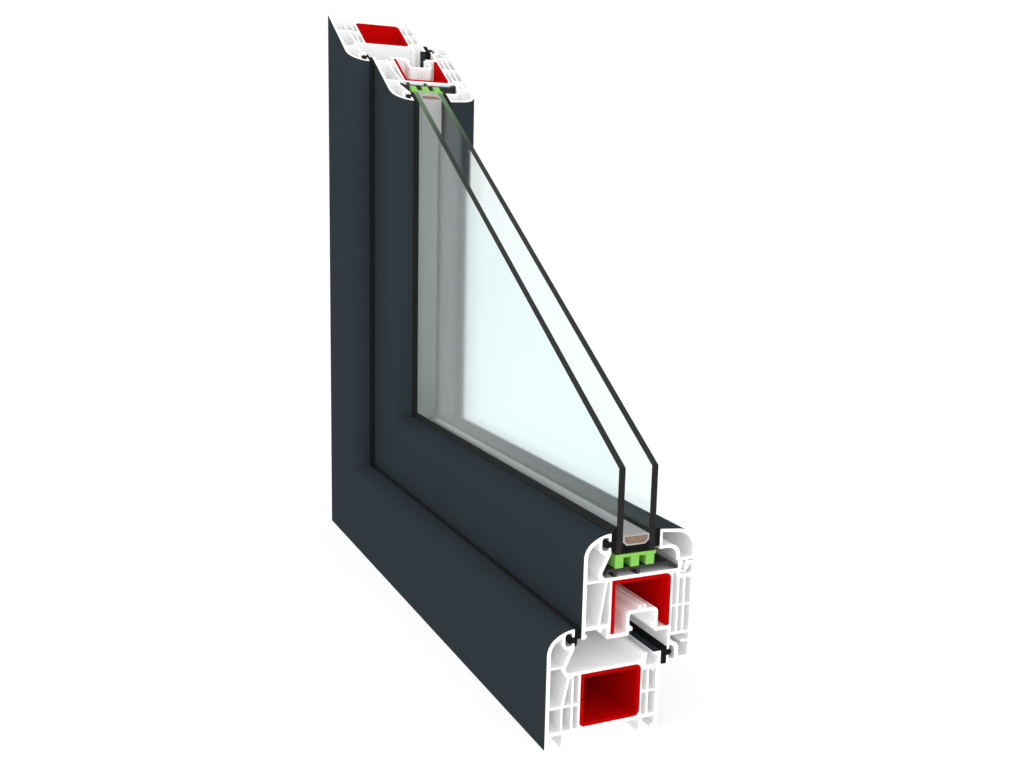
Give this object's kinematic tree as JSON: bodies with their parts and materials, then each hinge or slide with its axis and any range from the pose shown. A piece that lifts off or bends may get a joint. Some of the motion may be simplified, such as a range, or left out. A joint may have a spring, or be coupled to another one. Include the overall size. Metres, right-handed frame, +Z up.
{
  "type": "pvc window corner sample",
  "caption": "Cut-away lower corner of a plastic window: mitred multi-chamber frame and sash with steel reinforcement, gaskets, glazing bead and double glazing.",
  "frame": {"origin": "middle of the underside: halfway along the sill, halfway between the outdoor face of the frame and the room face of the sash, at the bottom of the sill's feet", "axes": "+X along the sill away from the jamb, +Y from outdoors to the room, +Z up"},
  "size_m": [0.4364, 0.09, 0.4364],
  "materials": {
    "white_pvc": "white extruded plastic, satin with saw marks on the cuts",
    "anthracite_film": "anthracite embossed film, satin",
    "red_steel": "red coated steel",
    "black_gasket": "matt black seal rubber",
    "clear_glass": "clear float glass, sawn and ground edges",
    "spacer_aluminium": "mill-finish aluminium",
    "drying_agent": "packed brown grains",
    "edge_sealant": "black sealant",
    "grey_sealant": "grey sealant",
    "green_packer": "green moulded plastic",
    "black_bridge": "black moulded plastic"
  },
  "bodies": {
    "root": {"bead_rail": "white_pvc", "bead_rail_film": "anthracite_film", "bead_stile": "white_pvc", "bead_stile_film": "anthracite_film", "bridge_rail": "black_bridge", "bridge_stile": "black_bridge", "desiccant_rail": "drying_agent", "desiccant_stile": "drying_agent", "edge_seal_rail": "edge_sealant", "edge_seal_stile": "grey_sealant", "frame_jamb_inner_film": "anthracite_film", "frame_jamb_outer_film": "anthracite_film", "frame_jamb_profile": "white_pvc", "frame_jamb_steel": "red_steel", "frame_sill_inner_film": "anthracite_film", "frame_sill_outer_film": "anthracite_film", "frame_sill_profile": "white_pvc", "frame_sill_steel": "red_steel", "glass_inner_pane": "clear_glass", "glass_outer_pane": "clear_glass", "inner_glazing_gasket_rail": "black_gasket", "inner_glazing_gasket_stile": "black_gasket", "inner_sash_gasket_rail": "black_gasket", "inner_sash_gasket_stile": "black_gasket", "outer_frame_gasket_jamb": "black_gasket", "outer_frame_gasket_sill": "black_gasket", "outer_glazing_gasket_rail": "black_gasket", "outer_glazing_gasket_stile": "black_gasket", "packer_rail": "green_packer", "packer_stile": "green_packer", "sash_rail_inner_film": "anthracite_film", "sash_rail_outer_film": "anthracite_film", "sash_rail_profile": "white_pvc", "sash_rail_steel": "red_steel", "sash_stile_inner_film": "anthracite_film", "sash_stile_outer_film": "anthracite_film", "sash_stile_profile": "white_pvc", "sash_stile_steel": "red_steel", "spacer_rail": "spacer_aluminium", "spacer_stile": "spacer_aluminium"}
  },
  "joints": []
}
